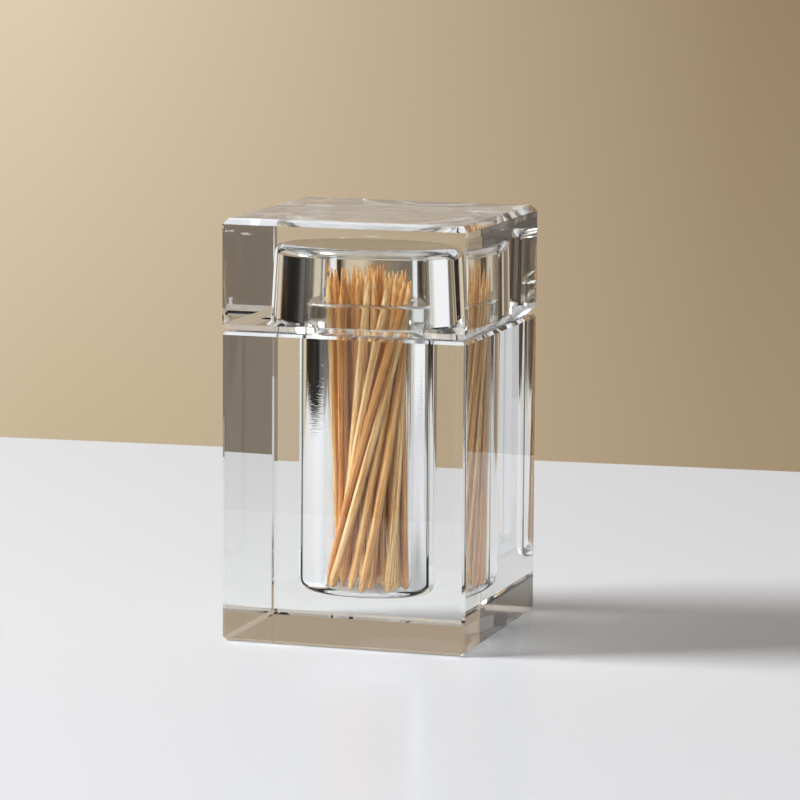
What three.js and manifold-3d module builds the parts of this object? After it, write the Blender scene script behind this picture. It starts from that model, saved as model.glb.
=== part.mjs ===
// Glass toothpick holder: a clear square block with a blind round bore and a raised neck, a square
// lid whose round recess drops over the neck, and a bundle of bamboo toothpicks in the bore.
// Millimetres, +Z up, front towards -Y, origin at the middle of the block's underside.
import * as THREE from "three";
import { mergeVertices } from "three/addons/utils/BufferGeometryUtils.js";
import Module from "manifold-3d";

// Block
const blockSide = 50;
const blockBevel = 0.6; // polished bevel along every outer edge
const boreDiameter = 28;
const floorThickness = 8.6; // glass under the bore
const boreFillet = 2.5; // round between the bore's wall and its floor
const neckWall = 5; // glass between the bore and the neck's outside
const neckHeight = 5.6; // shoulder to the neck's rim
const neckRound = 0.6; // polished round on the rim's two edges
const tipsAboveNeck = 6.8; // how far the toothpicks stand out of the neck

// Lid
const headRoom = 4.1; // air over the toothpicks' tips
const lidBevel = 1.2; // along the upper and lower edges
const lidUprightBevel = 0.4; // along the four upright edges
const lidSeatGap = 0.3; // air between the shoulder and the resting lid
const lidClearance = 0.7; // air between the neck's rim and the recess's wall
const roofThickness = 5.8; // glass above the recess
const recessDraft = 3; // degrees by which the recess opens towards its mouth
const recessFillet = 2.2; // round between the recess's wall and its roof
const mouthBevel = 0.9;

// Toothpicks
const pickLength = 65;
const pickShortfall = 1.8; // how much shorter the shortest pick is
const pickDiameter = 2;
const pickPointDiameter = 0.4; // the two points are blunt
const pickUpperTaper = 9;
const pickLowerTaper = 4;
const pickBellyShare = 0.875; // diameter halfway along a taper, as a share of the full one
const pickFootGap = 0.3; // air under each foot
const pickGap = 0.12; // least air from pick to pick, and from pick to glass

// How the toothpicks stand: rings inside one another, which lean across the front of the bore, and a
// nearly upright core in honeycomb rows. The back of the bore is left free for taking picks out.
const ringGap = 0.48; // air from an upright pick in the outermost ring to the bore's wall
const ringCount = 3;
const ringPitch = 2.2; // from ring to ring
const ringStep = 1; // degrees between the places that are tried
const ringSweep = 140; // degrees that a ring reaches round each side from the front
const ringSideTwist = 45; // degrees that a pick turns round the bore from foot to mouth
const ringFrontTwist = 105;
// Every point stays inside a rectangle, so that one box of air over it is free up to the roof's flat
const pointsWide = 13.2; // how far a point may stand from the axis to the left or right
const pointsDeep = 9.8; // and to the front or back
const coreGap = 0.36; // air from pick to pick along the core's rows
const coreLean = 7.4; // degrees of lean that the core's twist would give at the bore's wall
const coreShiftShare = 0.14; // how far the honeycomb lies off the axis, as a share of its pitch
const goldenShare = (Math.sqrt(5) - 1) / 2; // step that spreads the lengths evenly
const freeSpace = 5.2; // depth of the free space at the bore's back wall, and half its width

// Fineness
const roundSides = 72;
const filletSteps = 4;
const pickSides = 8;
const overrun = 1; // how far a cutter or a joined piece runs past the face that it meets

// Heights and radii that follow
const boreRadius = boreDiameter / 2;
const neckRadius = boreRadius + neckWall;
const pickFoot = floorThickness + pickFootGap;
const tipTop = pickFoot + pickLength;
const neckTop = tipTop - tipsAboveNeck;
const blockHeight = neckTop - neckHeight; // up to the shoulder that the lid rests on
const lidBottom = blockHeight + lidSeatGap;
const recessTop = tipTop + headRoom;
const lidTop = recessTop + roofThickness;
const draft = Math.tan(THREE.MathUtils.degToRad(recessDraft));
const recessRadiusAt = (z) => neckRadius + lidClearance + (neckTop - z) * draft;
const pickRadius = pickDiameter / 2;
const mouth = neckTop - pickFoot; // height of the bore's mouth over the feet
const footReach = boreFilletRadiusAt(pickFoot) - pickGap - pickPointDiameter / 2;

const glass = new THREE.MeshStandardMaterial({
  color: "#e6eeec",
  roughness: 0.03,
  metalness: 0,
  transparent: true,
  opacity: 0.35,
});
const bamboo = new THREE.MeshStandardMaterial({ color: "#d0a670", roughness: 0.65, metalness: 0 });

const wasm = await Module();
wasm.setup();

// A closed geometry as a solid that can be joined and cut
function solid(geometry) {
  const bare = geometry.index ? geometry.toNonIndexed() : geometry.clone();
  bare.deleteAttribute("normal");
  bare.deleteAttribute("uv");
  const welded = mergeVertices(bare);
  return new wasm.Manifold(
    new wasm.Mesh({
      numProp: 3,
      vertProperties: welded.attributes.position.array,
      triVerts: new Uint32Array(welded.index.array),
    }),
  );
}

// A solid back as a geometry for a mesh
function surface(body) {
  const mesh = body.getMesh();
  const geometry = new THREE.BufferGeometry();
  geometry.setAttribute("position", new THREE.BufferAttribute(mesh.vertProperties, mesh.numProp));
  geometry.setIndex(new THREE.BufferAttribute(mesh.triVerts, 1));
  geometry.computeVertexNormals();
  return geometry;
}

// Radius of the bore at a height within the fillet over its floor
function boreFilletRadiusAt(z) {
  const below = Math.max(0, floorThickness + boreFillet - z);
  return boreRadius - boreFillet + Math.sqrt(boreFillet ** 2 - below ** 2);
}

// Points on an arc in the radius-height plane, angles in degrees, 0 pointing outwards
function arc(centreRadius, centreHeight, radius, from, to) {
  return Array.from({ length: filletSteps + 1 }, (_, step) => {
    const angle = THREE.MathUtils.degToRad(from + ((to - from) * step) / filletSteps);
    const r = centreRadius + radius * Math.cos(angle);
    return new THREE.Vector2(r, centreHeight + radius * Math.sin(angle));
  });
}

// A round body about the Z axis from [radius, height] points that start and end on the axis
function turned(points, sides) {
  const profile = points.map((p) => (Array.isArray(p) ? new THREE.Vector2(...p) : p));
  return new THREE.LatheGeometry(profile, sides).rotateX(Math.PI / 2);
}

// A square block with one bevel along its upper and lower edges and another along its upright ones,
// which a second square prism cuts, turned by an eighth of a turn
function bevelledBlock(side, bottom, top, bevel, uprightBevel) {
  const half = side / 2;
  const signs = [[1, 1], [-1, 1], [-1, -1], [1, -1]];
  const corners = signs.map(([x, y]) => new THREE.Vector2(x * half, y * half));
  const block = new THREE.ExtrudeGeometry(new THREE.Shape(corners), {
    depth: top - bottom - 2 * bevel,
    bevelThickness: bevel,
    bevelSize: bevel,
    bevelOffset: -bevel,
    bevelSegments: 1,
  });
  const cut = (side * 2 - uprightBevel * 2) / Math.SQRT2;
  const prism = new THREE.BoxGeometry(cut, cut, top - bottom + overrun).rotateZ(Math.PI / 4);
  const middle = (top + bottom) / 2;
  return solid(block.translate(0, 0, bottom + bevel)).intersect(solid(prism.translate(0, 0, middle)));
}

// The block: the neck rises from its shoulder, and the bore runs down through both to the floor
function blockGeometry() {
  const neck = turned(
    [
      [0, blockHeight - overrun],
      [neckRadius, blockHeight - overrun],
      ...arc(neckRadius - neckRound, neckTop - neckRound, neckRound, 0, 90),
      [0, neckTop],
    ],
    roundSides,
  );
  const bore = turned(
    [
      [0, floorThickness],
      ...arc(boreRadius - boreFillet, floorThickness + boreFillet, boreFillet, -90, 0),
      ...arc(boreRadius + neckRound, neckTop - neckRound, neckRound, 180, 90),
      [boreRadius + neckRound, neckTop + overrun],
      [0, neckTop + overrun],
    ],
    roundSides,
  );
  const block = bevelledBlock(blockSide, 0, blockHeight, blockBevel, blockBevel);
  return surface(block.add(solid(neck)).subtract(solid(bore)));
}

// The lid: its recess narrows from a bevelled mouth to a rounded roof, as it left the mould
function lidGeometry() {
  const mouthRadius = recessRadiusAt(lidBottom + mouthBevel);
  const filletRadius = recessRadiusAt(recessTop - recessFillet);
  const recess = turned(
    [
      [0, lidBottom - overrun],
      [mouthRadius + mouthBevel, lidBottom - overrun],
      [mouthRadius + mouthBevel, lidBottom],
      [mouthRadius, lidBottom + mouthBevel],
      ...arc(filletRadius - recessFillet, recessTop - recessFillet, recessFillet, 0, 90),
      [0, recessTop],
    ],
    roundSides,
  );
  const block = bevelledBlock(blockSide, lidBottom, lidTop, lidBevel, lidUprightBevel);
  return surface(block.subtract(solid(recess)));
}

// A toothpick standing on the origin, pointed at both ends
function pickGeometry(length) {
  return turned(
    [
      [0, 0],
      [pickPointDiameter / 2, 0],
      [pickRadius * pickBellyShare, pickLowerTaper / 2],
      [pickRadius, pickLowerTaper],
      [pickRadius, length - pickUpperTaper],
      [pickRadius * pickBellyShare, length - pickUpperTaper / 2],
      [pickPointDiameter / 2, length],
      [0, length],
    ],
    pickSides,
  );
}

// Where a pick's axis is, seen from above, at a height over the feet
const placeAt = (pick, height) => pick.foot.clone().addScaledVector(pick.slope, height);

// How much of a pick's slanting length its height takes up
const upright = (pick) => 1 / Math.hypot(1, pick.slope.length());

// Whether a pick fits in the bore with its point in the rectangle, outside the free space at the back
function fitsBore(pick) {
  const mouthReach = boreRadius - pickGap - pickRadius / upright(pick);
  if (placeAt(pick, 0).length() > Math.min(footReach, mouthReach)) return false;
  if (placeAt(pick, mouth).length() > mouthReach) return false;
  const point = placeAt(pick, pickLength * upright(pick));
  if (Math.abs(point.x) > pointsWide || Math.abs(point.y) > pointsDeep) return false;
  const checks = 16;
  for (let step = 0; step <= checks; step++) {
    const place = placeAt(pick, (pickLength * step) / checks);
    const beside = Math.max(0, Math.abs(place.x) - freeSpace);
    const before = Math.max(0, boreRadius - freeSpace - place.y);
    if (Math.hypot(beside, before) < pickRadius + pickGap) return false;
  }
  return true;
}

// Whether two picks keep their gap all the way up
function keepApart(a, b) {
  const start = b.foot.clone().sub(a.foot);
  const travel = b.slope.clone().sub(a.slope).multiplyScalar(pickLength);
  const share = travel.lengthSq() > 0 ? -start.dot(travel) / travel.lengthSq() : 0;
  const nearest = start.addScaledVector(travel, THREE.MathUtils.clamp(share, 0, 1)).length();
  return nearest * Math.min(upright(a), upright(b)) >= pickDiameter + pickGap;
}

// The rings from the outside in, then the core, each pick kept only where it clears the ones already
// standing
function standingPicks() {
  const standing = [];
  const stand = (pick) => {
    if (fitsBore(pick) && standing.every((other) => keepApart(pick, other))) standing.push(pick);
  };
  const ringRadius = Math.min(boreRadius - ringGap - pickRadius, footReach);
  const front = -90;
  for (let ring = 0; ring < ringCount; ring++) {
    const onRing = (degrees) => {
      const angle = THREE.MathUtils.degToRad(degrees);
      const place = new THREE.Vector2(Math.cos(angle), Math.sin(angle));
      return place.multiplyScalar(ringRadius - ring * ringPitch);
    };
    for (let turn = 0; turn <= ringSweep; turn += ringStep) {
      for (const side of turn > 0 ? [1, -1] : [1]) {
        const facing = Math.max(0, Math.cos(THREE.MathUtils.degToRad(turn)));
        const twist = ringSideTwist + (ringFrontTwist - ringSideTwist) * facing;
        const foot = onRing(front + side * turn - twist / 2);
        const slope = onRing(front + side * turn + twist / 2).sub(foot).divideScalar(mouth);
        stand({ foot, slope });
      }
    }
  }
  const corePitch = pickDiameter + coreGap;
  const rowPitch = (corePitch * Math.sqrt(3)) / 2;
  const rows = Math.ceil(boreRadius / rowPitch);
  const twistSlope = Math.tan(THREE.MathUtils.degToRad(coreLean)) / boreRadius;
  for (let row = -rows; row <= rows; row++) {
    for (let column = -rows; column <= rows; column++) {
      const waist = new THREE.Vector2(
        (column + Math.abs(row % 2) / 2 + coreShiftShare) * corePitch,
        row * rowPitch + coreShiftShare * corePitch,
      );
      const slope = new THREE.Vector2(-waist.y, waist.x).multiplyScalar(twistSlope);
      stand({ foot: waist.addScaledVector(slope, -mouth / 2), slope });
    }
  }
  return standing;
}

const holder = new THREE.Group();

const block = new THREE.Mesh(blockGeometry(), glass);
block.name = "glass_block";
holder.add(block);

const lid = new THREE.Mesh(lidGeometry(), glass);
lid.name = "glass_lid";
holder.add(lid);

// The picks stand with their feet on the floor of the bore and differ a little in length
const bundle = new THREE.Group();
bundle.position.z = pickFoot;
standingPicks().forEach((pick, index) => {
  const shorter = pickShortfall * ((index * goldenShare) % 1);
  const toothpick = new THREE.Mesh(pickGeometry(pickLength - shorter), bamboo);
  const up = new THREE.Vector3(pick.slope.x, pick.slope.y, 1).normalize();
  toothpick.quaternion.setFromUnitVectors(new THREE.Vector3(0, 0, 1), up);
  toothpick.position.set(pick.foot.x, pick.foot.y, 0);
  toothpick.name = `toothpick_${String(index + 1).padStart(2, "0")}`;
  bundle.add(toothpick);
});
holder.add(bundle);

export default holder;
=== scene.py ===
import math

import bpy
import numpy as np
from mathutils import Matrix, Vector


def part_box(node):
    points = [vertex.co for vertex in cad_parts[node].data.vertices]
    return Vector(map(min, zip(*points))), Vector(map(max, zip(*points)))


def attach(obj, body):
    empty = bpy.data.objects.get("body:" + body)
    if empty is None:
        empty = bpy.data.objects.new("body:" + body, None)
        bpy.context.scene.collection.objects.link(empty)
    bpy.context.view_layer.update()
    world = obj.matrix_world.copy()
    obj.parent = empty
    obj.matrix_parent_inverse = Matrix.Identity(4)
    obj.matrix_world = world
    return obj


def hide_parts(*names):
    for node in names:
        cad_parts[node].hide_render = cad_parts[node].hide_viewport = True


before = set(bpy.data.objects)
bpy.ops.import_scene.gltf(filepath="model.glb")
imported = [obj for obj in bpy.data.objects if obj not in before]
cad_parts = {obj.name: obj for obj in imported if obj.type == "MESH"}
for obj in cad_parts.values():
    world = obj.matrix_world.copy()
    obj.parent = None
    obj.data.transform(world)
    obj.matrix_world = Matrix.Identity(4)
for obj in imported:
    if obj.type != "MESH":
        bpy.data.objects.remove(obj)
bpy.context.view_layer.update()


# Camera: a long lens at the photograph's viewing angle, from the front right and a little above.
# The lens is so long that the upright edges of the glass stay nearly upright.
CAMERA_AZIMUTH = math.radians(17.44)
CAMERA_ELEVATION = math.radians(8.11)
CAMERA_ROLL = math.radians(0.36)
CAMERA_DISTANCE = 0.8005  # metres from the point that it looks at
CAMERA_AIM = Vector((0.00378, 0, 0.04603))
CAMERA_LENS = 180.2  # mm
SENSOR_WIDTH = 36  # mm

camera_back = Vector(
    (
        math.sin(CAMERA_AZIMUTH) * math.cos(CAMERA_ELEVATION),
        -math.cos(CAMERA_AZIMUTH) * math.cos(CAMERA_ELEVATION),
        math.sin(CAMERA_ELEVATION),
    )
)
camera = bpy.data.objects.new("camera", bpy.data.cameras.new("camera"))
camera.data.lens = CAMERA_LENS
camera.data.sensor_width = SENSOR_WIDTH
camera.data.clip_start = 0.01
camera.data.clip_end = 20
level_turn = (-camera_back).to_track_quat("-Z", "Y").to_matrix()
camera_turn = level_turn @ Matrix.Rotation(CAMERA_ROLL, 3, "Z")
camera_place = CAMERA_AIM + camera_back * CAMERA_DISTANCE
camera.matrix_world = Matrix.LocRotScale(camera_place, camera_turn, None)
bpy.context.scene.collection.objects.link(camera)
bpy.context.scene.camera = camera


# Glass block: one solid piece of clear pressed glass, 50 mm square, ground flat and polished on every
# outer face, with a polished bevel along each edge. A round bore runs down into it to a thick floor,
# and a short round neck rises from its shoulder to locate the lid. It stands on its flat underside.
PER_SIDE = 90  # points along each side of the square, so a round ring has one every degree
ARC_STEPS = 16
SUPPORT = 0.00004  # how far from a tangent join the helping rings lie, which keep flat faces flat
SHARP = math.radians(20)  # edges that turn by more than this are shaded as sharp

BLOCK_BEVEL = 0.0006
BORE_RADIUS = 0.014
BORE_FILLET = 0.0025
FLOOR_THICKNESS = 0.0086
NECK_RADIUS = 0.019
NECK_HEIGHT = 0.0056
NECK_ROUND = 0.0006


def square_ring(half, corner, height):
    """Points round a square with cut corners. Each side lies half away from the axis and runs evenly
    from one cut to the next, and corner is how much of the side a cut takes."""
    along = np.linspace(corner - half, half - corner, PER_SIDE)
    out = np.full(PER_SIDE, half)
    x = np.concatenate([out, -along, -out, along])
    y = np.concatenate([along, out, -along, -out])
    return np.stack([x, y, np.full(x.size, height)], axis=1)


def round_ring(radius, height):
    """Points round a circle, radius * (cos a, sin a), at equal angles a that face the square's points."""
    angle = (np.arange(4 * PER_SIDE) - (PER_SIDE - 1) / 2) * (2 * math.pi / (4 * PER_SIDE))
    return np.stack([radius * np.cos(angle), radius * np.sin(angle), np.full(angle.size, height)], axis=1)


def arc_rings(radius, height, size, start, end):
    """Rings along an arc in the plane of radius and height, (radius, height) + size * (cos a, sin a),
    with a running from start to end in degrees."""
    return [
        round_ring(radius + size * math.cos(a), height + size * math.sin(a))
        for a in np.radians(np.linspace(start, end, ARC_STEPS + 1))
    ]


def skinned(name, first, rings, last):
    """A closed mesh over rings of points, which lie between a first and a last point: four-sided
    faces join each ring to the next, and a fan of triangles closes each end."""
    count = len(rings[0])
    points = np.concatenate([[first], *rings, [last]])
    here = np.arange(count)
    after = (here + 1) % count
    row = 1 + count * np.arange(len(rings) - 1)[:, None]
    quads = np.stack([row + here, row + after, row + count + after, row + count + here], axis=-1)
    top = 1 + count * (len(rings) - 1)
    fans = [
        np.stack([np.zeros_like(here), 1 + after, 1 + here], axis=1),
        np.stack([top + here, top + after, np.full(count, len(points) - 1)], axis=1),
    ]
    faces = [*quads.reshape(-1, 4).tolist(), *np.concatenate(fans).tolist()]
    mesh = bpy.data.meshes.new(name)
    mesh.from_pydata(points, [], faces)
    mesh.shade_smooth()
    mesh.set_sharp_from_angle(angle=SHARP)
    piece = bpy.data.objects.new(name, mesh)
    bpy.context.scene.collection.objects.link(piece)
    return piece


def bevelled_sides(half, bottom, top, bevel, upright):
    """Rings up the outside of a square block, from the inner edge of the lower bevel to that of the
    upper one. Upright bevels narrower than these run out in them, half their own width further in.
    Upright bevels of the same width end in small cut corners."""
    meet = upright / 2
    narrow = upright < bevel
    spare = SUPPORT if narrow else (math.sqrt(2) - 1) * bevel
    return [
        square_ring(half - bevel, spare, bottom),
        *([square_ring(half - meet, SUPPORT, bottom + bevel - meet)] if narrow else []),
        square_ring(half, upright, bottom + bevel),
        square_ring(half, upright, top - bevel),
        *([square_ring(half - meet, SUPPORT, top - bevel + meet)] if narrow else []),
        square_ring(half - bevel, spare, top),
    ]


block_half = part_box("glass_block")[1][0]
neck_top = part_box("glass_block")[1][2]
shoulder = neck_top - NECK_HEIGHT
rim_arc = neck_top - NECK_ROUND
bore_arc = FLOOR_THICKNESS + BORE_FILLET

block = skinned(
    "block",
    (0, 0, 0),
    [
        *bevelled_sides(block_half, 0, shoulder, BLOCK_BEVEL, BLOCK_BEVEL),
        round_ring(NECK_RADIUS, shoulder),
        round_ring(NECK_RADIUS, rim_arc - SUPPORT),
        *arc_rings(NECK_RADIUS - NECK_ROUND, rim_arc, NECK_ROUND, 0, 90),
        round_ring(NECK_RADIUS - NECK_ROUND - SUPPORT, neck_top),
        round_ring(BORE_RADIUS + NECK_ROUND + SUPPORT, neck_top),
        *arc_rings(BORE_RADIUS + NECK_ROUND, rim_arc, NECK_ROUND, 90, 180),
        round_ring(BORE_RADIUS, rim_arc - SUPPORT),
        round_ring(BORE_RADIUS, bore_arc + SUPPORT),
        *arc_rings(BORE_RADIUS - BORE_FILLET, bore_arc, BORE_FILLET, 0, -90),
        round_ring(BORE_RADIUS - BORE_FILLET - SUPPORT, FLOOR_THICKNESS),
    ],
    (0, 0, FLOOR_THICKNESS),
)
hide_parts("glass_block")
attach(block, "holder")


def linear(code):
    """An sRGB hex colour as linear red, green, blue and alpha, by the curve of the sRGB standard."""
    shares = [int(code[i : i + 2], 16) / 255 for i in (1, 3, 5)]
    return (*(s / 12.92 if s <= 0.04045 else ((s + 0.055) / 1.055) ** 2.4 for s in shares), 1)


def add_node(tree, kind, links=None, **settings):
    """Adds a node. settings are its own properties, and links gives each input a value or a socket."""
    node = tree.nodes.new("ShaderNode" + kind)
    for key, value in settings.items():
        setattr(node, key, value)
    for key, value in (links or {}).items():
        if isinstance(value, bpy.types.NodeSocket):
            tree.links.new(value, node.inputs[key])
        else:
            node.inputs[key].default_value = value
    return node


def new_material(name):
    """An empty node material and its node tree."""
    material = bpy.data.materials.new(name)
    material.use_nodes = True
    material.node_tree.nodes.clear()
    return material, material.node_tree


def set_ramp(node, stops):
    """Gives a colour ramp its stops, each a position from 0 to 1 and a hex colour."""
    ramp = node.color_ramp
    for position, _ in stops[1:-1]:
        ramp.elements.new(position)
    for element, (position, code) in zip(ramp.elements, stops):
        element.position = position
        element.color = linear(code)


# Soda-lime glass, pressed, ground and polished: it bends what lies behind it and mirrors the room on
# the inside of its faces, with next to no colour of its own in so short a path.
GLASS_SHADER = {
    "Base Color": linear("#fbfdfc"),
    "Roughness": 0.0,
    "IOR": 1.52,
    "Transmission Weight": 1.0,
}

# Grinding left faint marks round the bore's wall, and low waves on its floor.
BORE_MARKS = Vector((300, 300, 5000))  # per metre: marks about 3 mm long and 0.2 mm apart
MARK_DEPTH = 0.00001
MARK_STRENGTH = 0.35
MARKS_BEGIN = 0.0003  # how far outside the bore's surface they begin
MARKS_FULL = 0.0001  # and how far outside it they are in full

block_glass, tree = new_material("polished soda-lime glass with a ground bore")
place = add_node(tree, "TexCoord").outputs["Object"]
aim = add_node(tree, "SeparateXYZ", {"Vector": place})
flat = add_node(tree, "CombineXYZ", {"X": aim.outputs["X"], "Y": aim.outputs["Y"]})
out = add_node(tree, "VectorMath", {0: flat.outputs["Vector"]}, operation="LENGTH")
over_floor = add_node(
    tree,
    "MapRange",
    {
        "Value": aim.outputs["Z"],
        "From Min": FLOOR_THICKNESS - MARKS_BEGIN,
        "From Max": FLOOR_THICKNESS - MARKS_FULL,
        "To Max": MARK_STRENGTH,
    },
)
in_bore = add_node(
    tree,
    "MapRange",
    {
        "Value": out.outputs["Value"],
        "From Min": BORE_RADIUS + MARKS_BEGIN,
        "From Max": BORE_RADIUS + MARKS_FULL,
        "To Max": over_floor.outputs["Result"],
    },
)
run = add_node(tree, "Mapping", {"Vector": place, "Scale": BORE_MARKS}).outputs["Vector"]
marks = add_node(tree, "TexNoise", {"Vector": run, "Scale": 1.0, "Detail": 2.0})
ground_bore = add_node(
    tree,
    "Bump",
    {
        "Height": marks.outputs["Fac"],
        "Strength": in_bore.outputs["Result"],
        "Distance": MARK_DEPTH,
    },
)
shader = add_node(
    tree, "BsdfPrincipled", {**GLASS_SHADER, "Normal": ground_bore.outputs["Normal"]}
)
add_node(tree, "OutputMaterial", {"Surface": shader.outputs["BSDF"]})
block.data.materials.append(block_glass)


# Glass lid: a second block of the same glass with wider bevels above and below. Its round recess was
# pressed, so it opens a little towards its mouth and is rounded round its flat roof. It drops over
# the neck and lies loose.
LID_BEVEL = 0.0012
LID_UPRIGHT_BEVEL = 0.0004
LID_CLEARANCE = 0.0007
ROOF_THICKNESS = 0.0058
RECESS_DRAFT = math.tan(math.radians(3))  # how much its radius grows per depth
RECESS_FILLET = 0.0022
MOUTH_BEVEL = 0.0009

lid_low, lid_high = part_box("glass_lid")
lid_half, lid_bottom, lid_top = lid_high[0], lid_low[2], lid_high[2]
roof = lid_top - ROOF_THICKNESS
roof_arc = roof - RECESS_FILLET


def recess_radius(height):
    """The recess's radius: the neck's radius and the clearance at the rim, widening downwards."""
    return NECK_RADIUS + LID_CLEARANCE + (neck_top - height) * RECESS_DRAFT


fillet_centre = recess_radius(roof_arc) - RECESS_FILLET
mouth_radius = recess_radius(lid_bottom + MOUTH_BEVEL)
lid = skinned(
    "lid",
    (0, 0, roof),
    [
        round_ring(fillet_centre - SUPPORT, roof),
        *arc_rings(fillet_centre, roof_arc, RECESS_FILLET, 90, 0),
        round_ring(recess_radius(roof_arc - SUPPORT), roof_arc - SUPPORT),
        round_ring(mouth_radius, lid_bottom + MOUTH_BEVEL),
        round_ring(mouth_radius + MOUTH_BEVEL, lid_bottom),
        *bevelled_sides(lid_half, lid_bottom, lid_top, LID_BEVEL, LID_UPRIGHT_BEVEL),
    ],
    (0, 0, lid_top),
)
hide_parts("glass_lid")
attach(lid, "lid")

# The same soda-lime glass, but the lid's top was left as it cooled under a flame: bright, with low
# waves a few millimetres long that ripple what is mirrored in it.
WAVES = 170  # per metre: about 6 mm long
WAVE_HEIGHT = 0.00018
HAZE = 0.30  # share of the light that fine wiping marks on it scatter
WIPED_ROUGHNESS = 0.1

lid_glass, tree = new_material("fire-polished soda-lime glass")
place = add_node(tree, "TexCoord").outputs["Object"]
aim = add_node(tree, "SeparateXYZ", {"Vector": place})
on_top = add_node(
    tree,
    "MapRange",
    {
        "Value": aim.outputs["Z"],
        "From Min": lid_top - LID_BEVEL / 2,
        "From Max": lid_top - LID_BEVEL / 4,
    },
)
waves = add_node(tree, "TexNoise", {"Vector": place, "Scale": WAVES, "Detail": 2.0})
rippled = add_node(
    tree,
    "Bump",
    {"Height": waves.outputs["Fac"], "Strength": on_top.outputs["Result"], "Distance": WAVE_HEIGHT},
)
soft = add_node(tree, "MapRange", {"Value": on_top.outputs["Result"], "To Max": WIPED_ROUGHNESS})
clear = add_node(
    tree, "MapRange", {"Value": on_top.outputs["Result"], "To Min": 1.0, "To Max": 1 - HAZE}
)
shader = add_node(
    tree,
    "BsdfPrincipled",
    {
        **GLASS_SHADER,
        "Roughness": soft.outputs["Result"],
        "Transmission Weight": clear.outputs["Result"],
        "Normal": rippled.outputs["Normal"],
    },
)
add_node(tree, "OutputMaterial", {"Surface": shader.outputs["BSDF"]})
lid.data.materials.append(lid_glass)


# Toothpicks: split bamboo turned to round rods and pointed at both ends, loose in the bore. Each
# stands where its plain solid stands, and its cut surface shows the long straight fibres.
PICK_SIDES = 20
PICK_RINGS = 64
PICK_RADIUS = 0.001
PICK_POINT_RADIUS = 0.0002
PICK_LOWER_TAPER = 0.004
PICK_UPPER_TAPER = 0.009
PICK_BELLY = 2.4  # power that gives the tapers their belly
TONE_STEP = (math.sqrt(5) - 1) / 2  # spreads the tones evenly over the bundle
GRAIN_STEP = 61.0  # mm of the fibres' pattern from one pick to the next, so each has its own

# Bamboo, split and turned, unfinished: dull, with pale soft ground and darker fibre bundles that lie
# lengthwise, a fifth of a millimetre apart.
FIBRES = Vector((4.5, 4.5, 0.09))  # per millimetre: 0.2 mm apart and about 11 mm long
FIBRE_HEIGHT = 0.0001
FIBRE_STRENGTH = 0.35
FIBRE_COLOURS = ((0.36, "#b87a3a"), (0.48, "#efc07c"), (0.6, "#ffe9ba"))
TONE_COLOURS = ((0.0, "#e2b98a"), (0.5, "#f8ecd8"), (1.0, "#ffffff"))  # from the darkest pick up

bamboo, tree = new_material("turned bamboo")
place = add_node(tree, "Attribute", attribute_name="place").outputs["Vector"]
tone = add_node(tree, "Attribute", attribute_name="tone").outputs["Fac"]
streak = add_node(tree, "Mapping", {"Vector": place, "Scale": FIBRES}).outputs["Vector"]
fibre = add_node(tree, "TexNoise", {"Vector": streak, "Scale": 1.0, "Detail": 4.0, "Roughness": 0.6})
ground = add_node(tree, "ValToRGB", {"Fac": fibre.outputs["Fac"]})
set_ramp(ground, FIBRE_COLOURS)
shade = add_node(tree, "ValToRGB", {"Fac": tone})
set_ramp(shade, TONE_COLOURS)
colour = add_node(
    tree,
    "Mix",
    {"Factor": 1.0, "A": ground.outputs["Color"], "B": shade.outputs["Color"]},
    data_type="RGBA",
    blend_type="MULTIPLY",
)
raised = add_node(
    tree,
    "Bump",
    {"Height": fibre.outputs["Fac"], "Strength": FIBRE_STRENGTH, "Distance": FIBRE_HEIGHT},
)
shader = add_node(
    tree,
    "BsdfPrincipled",
    {
        "Base Color": colour.outputs["Result"],
        "Roughness": 0.55,
        "Normal": raised.outputs["Normal"],
    },
)
add_node(tree, "OutputMaterial", {"Surface": shader.outputs["BSDF"]})


def pick_surface(foot, tip):
    """Rings round the line from foot to tip. At a height h along it and an angle a, the point is
    foot + h * axis + r(h) * (cos a, sin a), where r = point + (full - point) * (1 - (1 - t) ** belly)
    and t rises from 0 to 1 along each taper. Returns the points, and the same in the pick's own frame
    in millimetres."""
    axis = tip - foot
    length = np.linalg.norm(axis)
    axis /= length
    side = np.cross(axis, [0, 1, 0])
    side /= np.linalg.norm(side)
    height = (1 - np.cos(np.linspace(0, math.pi, PICK_RINGS))) / 2 * length
    taper = np.clip(np.minimum(height / PICK_LOWER_TAPER, (length - height) / PICK_UPPER_TAPER), 0, 1)
    radius = PICK_POINT_RADIUS + (PICK_RADIUS - PICK_POINT_RADIUS) * (1 - (1 - taper) ** PICK_BELLY)
    angle = np.arange(PICK_SIDES) * (2 * math.pi / PICK_SIDES)
    across = np.outer(radius, np.cos(angle))
    deep = np.outer(radius, np.sin(angle))
    up = np.outer(height, np.ones(PICK_SIDES))
    frame_axes = np.stack([side, np.cross(axis, side), axis])
    own = np.stack([across, deep, up], axis=-1)
    return foot + own @ frame_axes, own * 1000


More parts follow.
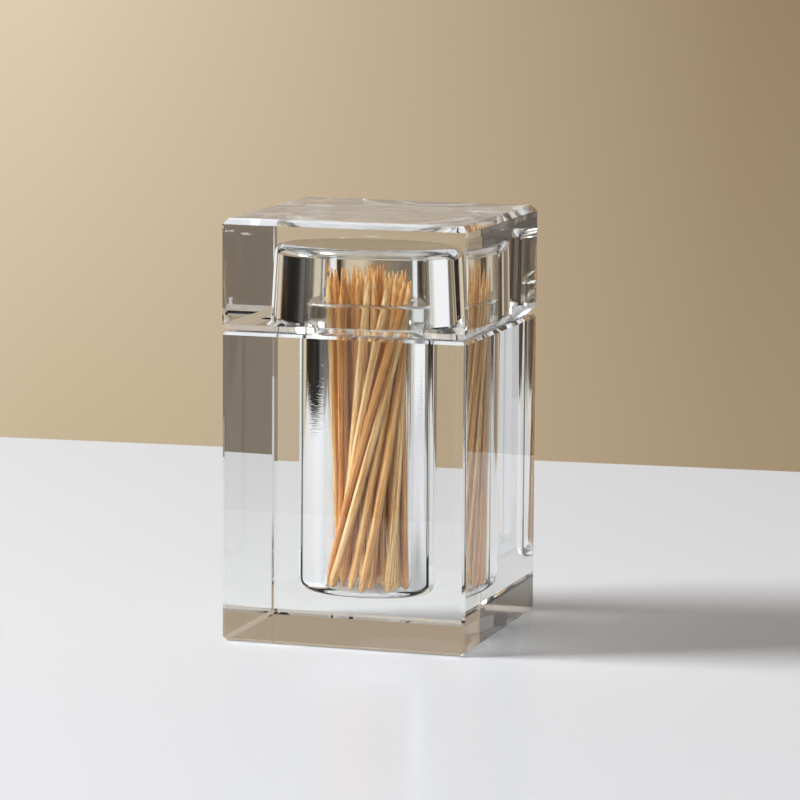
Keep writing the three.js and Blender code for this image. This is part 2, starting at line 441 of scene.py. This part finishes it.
pick_nodes = sorted(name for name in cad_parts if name.startswith("toothpick_"))
for index, node in enumerate(pick_nodes):
    solid = np.array([vertex.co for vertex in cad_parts[node].data.vertices])
    middle = solid.mean(axis=0)
    axis = np.linalg.svd(solid - middle, full_matrices=False)[2][0]
    axis *= np.sign(axis[2])
    along = (solid - middle) @ axis
    foot, tip = middle + along.min() * axis, middle + along.max() * axis
    rings, own = pick_surface(foot, tip)
    pick = skinned(node.replace("toothpick", "pick"), foot, rings, tip)
    ends = [[[0, 0, own[0, 0, 2]]], own.reshape(-1, 3), [[0, 0, own[-1, 0, 2]]]]
    grain = np.concatenate(ends) + [0, 0, index * GRAIN_STEP]
    pick.data.attributes.new("place", "FLOAT_VECTOR", "POINT").data.foreach_set("vector", grain.ravel())
    tones = np.full(len(grain), index * TONE_STEP % 1)
    pick.data.attributes.new("tone", "FLOAT", "POINT").data.foreach_set("value", tones)
    pick.data.materials.append(bamboo)
    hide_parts(node)
    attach(pick, "toothpicks")


# Table: a pale polished table top, whose far edge shows behind the object. It ends a forearm's length
# to either side, where the room beyond it is dark on the left and bright on the right. Its front is a
# part by itself, which mirror rays leave out, as a polarising filter on the lens would do.
TABLE_GAP = 0.0001  # air that stays between ground glass and a flat table
TABLE_LEFT = -0.31
TABLE_RIGHT = 0.33
TABLE_FRONT = -0.6
TABLE_NEAR = -0.17  # where the front part ends
PHOTO_SIDE = 800  # pixels
FAR_EDGE = ((0, 437), (PHOTO_SIDE, 472))  # two pixels of the photograph that the far edge crosses


def on_table(column, row):
    """The point in the plane of the table top that the camera sees at a pixel of the photograph."""
    reach = PHOTO_SIDE * CAMERA_LENS / SENSOR_WIDTH
    centre = PHOTO_SIDE / 2
    ray = camera_turn @ Vector(((column - centre) / reach, (centre - row) / reach, -1))
    return camera_place - ray * ((camera_place.z + TABLE_GAP) / ray.z)


far_left, far_right = (on_table(*pixel) for pixel in FAR_EDGE)
line = (far_right - far_left).normalized()
far = [far_left + line * ((x - far_left.x) / line.x) for x in (TABLE_LEFT, TABLE_RIGHT)]
near, front = (
    [Vector((x, y, far_left.z)) for x in (TABLE_LEFT, TABLE_RIGHT)] for y in (TABLE_NEAR, TABLE_FRONT)
)

# Pale stone, cut, sealed and polished: one even cool grey, with a weak and slightly blurred gloss.
stone, tree = new_material("pale polished stone")
shader = add_node(
    tree,
    "BsdfPrincipled",
    {"Base Color": linear("#e9ecf1"), "Roughness": 0.22, "IOR": 1.27},
)
add_node(tree, "OutputMaterial", {"Surface": shader.outputs["BSDF"]})

for name, (back_left, back_right), (left, right) in (("table", far, near), ("table_front", near, front)):
    mesh = bpy.data.meshes.new(name)
    mesh.from_pydata([back_left, back_right, right, left], [], [(0, 3, 2, 1)])
    mesh.materials.append(stone)
    table = bpy.data.objects.new(name, mesh)
    table.visible_glossy = name == "table"
    bpy.context.scene.collection.objects.link(table)


# Room: a tan wall that darkens to the right and lightens upwards, a dark left side, and a bright tall
# window at the right beyond the wall's end, all under a pale ceiling. Dull surfaces get soft even light
# from it, and what stands in the glass gets more from the upper left and from above.

# Each line has degrees round the horizon, 0 behind the object and growing to the right, the colours a
# hand's breadth below the horizon and on it, and the sine of the height that the second one reaches.
ROOM_ROUND = (
    (-180, "#5f5c58", "#5f5c58", 0.3),
    (-112, "#5a5653", "#5a5653", 0.3),
    (-104, "#14100d", "#14100d", 0.12),
    (-52, "#1c1813", "#1c1813", 0.08),
    (-42, "#d8c7b3", "#d8c7b3", 0.08),
    (-27, "#dac9b1", "#e0cfb6", 0.08),
    (-23, "#c8b698", "#e3d1b8", 0.08),
    (-17, "#bca88c", "#bca88c", 0.08),
    (-12, "#a28e72", "#937e65", 0.08),
    (2, "#9a8a74", "#8c7c68", 0.08),
    (16, "#7d7163", "#7d7163", 0.08),
    (34, "#7a6f63", "#7a6f63", 0.08),
    (38, "#fcfcfe", "#fcfcfe", 0.35),
    (78, "#fcfcfe", "#fcfcfe", 0.35),
    (88, "#c5baa8", "#c5baa8", 0.2),
    (120, "#77726c", "#77726c", 0.08),
    (160, "#6d6a66", "#6d6a66", 0.08),
    (180, "#5f5c58", "#5f5c58", 0.3),
)
# The colours over that height, each with the sine of the height where it lies.
ROOM_ABOVE = (
    (0.0, "#b5a288"),
    (0.1, "#a9967d"),
    (0.2, "#a8957e"),
    (0.31, "#b8a691"),
    (0.45, "#cdc4ba"),
    (0.6, "#e4e1de"),
    (0.8, "#d8d2cb"),
    (1.0, "#bdb0a2"),
)

LOW_TO_LEVEL = (-0.15, -0.03)  # sines of the heights between which the first colour turns into the second
LEVEL_TO_ABOVE = (-0.06, 0.02)  # how far below and over the reach the colours above take over
EVEN_LIGHT = 0.28
GATHERED_FROM = Vector((-0.75, -0.5, 0.6))  # where the light comes from that the glass gathers
GATHERED_ANGLES = (0.8, 0.96)  # cosines of the angles from there, at which it begins and is in full
GATHERED_LIGHT = (0.22, 8.5)  # its strengths outside these angles and inside them
OVERHEAD_FROM = 0.6  # sine of the height at which the light from above begins
OVERHEAD_LIGHT = 3.0
MANY_CROSSINGS = 2.5  # a ray over this has gone through three faces of glass or more

world = bpy.data.worlds.new("room")
world.use_nodes = True
tree = world.node_tree
tree.nodes.clear()
towards_room = add_node(tree, "TexCoord").outputs["Generated"]
aim = add_node(tree, "SeparateXYZ", {"Vector": towards_room})
turn = add_node(tree, "Math", {0: aim.outputs["X"], 1: aim.outputs["Y"]}, operation="ARCTAN2")
share = add_node(
    tree,
    "MapRange",
    {"Value": turn.outputs[0], "From Min": -math.pi, "From Max": math.pi},
)
low = add_node(tree, "ValToRGB", {"Fac": share.outputs["Result"]})
set_ramp(low, [((degrees + 180) / 360, code) for degrees, code, _, _ in ROOM_ROUND])
level = add_node(tree, "ValToRGB", {"Fac": share.outputs["Result"]})
set_ramp(level, [((degrees + 180) / 360, code) for degrees, _, code, _ in ROOM_ROUND])
for element, (_, _, _, reach) in zip(level.color_ramp.elements, ROOM_ROUND):
    element.alpha = reach
to_level = add_node(
    tree,
    "MapRange",
    {"Value": aim.outputs["Z"], "From Min": LOW_TO_LEVEL[0], "From Max": LOW_TO_LEVEL[1]},
)
around = add_node(
    tree,
    "Mix",
    {"Factor": to_level.outputs["Result"], "A": low.outputs["Color"], "B": level.outputs["Color"]},
    data_type="RGBA",
)
above = add_node(tree, "ValToRGB", {"Fac": aim.outputs["Z"]})
set_ramp(above, ROOM_ABOVE)
over = add_node(
    tree, "Math", {0: aim.outputs["Z"], 1: level.outputs["Alpha"]}, operation="SUBTRACT"
)
rise = add_node(
    tree,
    "MapRange",
    {"Value": over.outputs[0], "From Min": LEVEL_TO_ABOVE[0], "From Max": LEVEL_TO_ABOVE[1]},
)
room = add_node(
    tree,
    "Mix",
    {"Factor": rise.outputs["Result"], "A": around.outputs["Result"], "B": above.outputs["Color"]},
    data_type="RGBA",
)

# Clear rays come from the camera, from a gloss or through the glass. Those with no dull surface before
# them on their way see the room. All others meet the even light, and clear ones among them that have
# crossed many faces of glass also meet the light that the glass gathers.
path = add_node(tree, "LightPath").outputs
glossy = add_node(
    tree, "Math", {0: path["Is Camera Ray"], 1: path["Is Glossy Ray"]}, operation="MAXIMUM"
)
clear = add_node(
    tree, "Math", {0: glossy.outputs[0], 1: path["Is Transmission Ray"]}, operation="MAXIMUM"
)
inside = add_node(
    tree, "Math", {0: path["Transmission Depth"], 1: MANY_CROSSINGS}, operation="GREATER_THAN"
)
lit = add_node(tree, "Math", {0: clear.outputs[0], 1: inside.outputs[0]}, operation="MULTIPLY")
direct = add_node(tree, "Math", {0: path["Diffuse Depth"], 1: 0.5}, operation="LESS_THAN")
seen = add_node(tree, "Math", {0: clear.outputs[0], 1: direct.outputs[0]}, operation="MULTIPLY")
aside = add_node(
    tree,
    "VectorMath",
    {0: towards_room, 1: GATHERED_FROM.normalized()},
    operation="DOT_PRODUCT",
)
beam = add_node(
    tree,
    "MapRange",
    {
        "Value": aside.outputs["Value"],
        "From Min": GATHERED_ANGLES[0],
        "From Max": GATHERED_ANGLES[1],
        "To Min": GATHERED_LIGHT[0],
        "To Max": GATHERED_LIGHT[1],
    },
    interpolation_type="SMOOTHSTEP",
)
overhead = add_node(
    tree,
    "MapRange",
    {"Value": aim.outputs["Z"], "From Min": OVERHEAD_FROM, "From Max": 1.0, "To Max": OVERHEAD_LIGHT},
)
both = add_node(
    tree, "Math", {0: beam.outputs["Result"], 1: overhead.outputs["Result"]}, operation="ADD"
)
through = add_node(
    tree, "Math", {0: lit.outputs[0], 1: both.outputs[0], 2: EVEN_LIGHT}, operation="MULTIPLY_ADD"
)
light = add_node(tree, "Background", {"Color": linear("#f4f4f6"), "Strength": through.outputs[0]})
view = add_node(tree, "Background", {"Color": room.outputs["Result"], "Strength": 1.0})
mix = add_node(tree, "MixShader", {0: seen.outputs[0], 1: light.outputs[0], 2: view.outputs[0]})
add_node(tree, "OutputWorld", {"Surface": mix.outputs[0]})
bpy.context.scene.world = world


# Lamp: one soft box high on the left, which gives the shadow to the right.
LAMP_PLACE = Vector((-1.2, -0.4, 1.0))
LAMP_AIM = Vector((0, 0, 0.04))
LAMP_SIDE = 0.56
LAMP_POWER = 35  # watts

lamp = bpy.data.lights.new("soft box", "AREA")
lamp.shape = "SQUARE"
lamp.size = LAMP_SIDE
lamp.energy = LAMP_POWER
box = bpy.data.objects.new("soft box", lamp)
lamp_turn = (LAMP_PLACE - LAMP_AIM).to_track_quat("Z", "Y")
box.matrix_world = Matrix.LocRotScale(LAMP_PLACE, lamp_turn, None)
bpy.context.scene.collection.objects.link(box)

bpy.context.scene.view_settings.view_transform = "Standard"
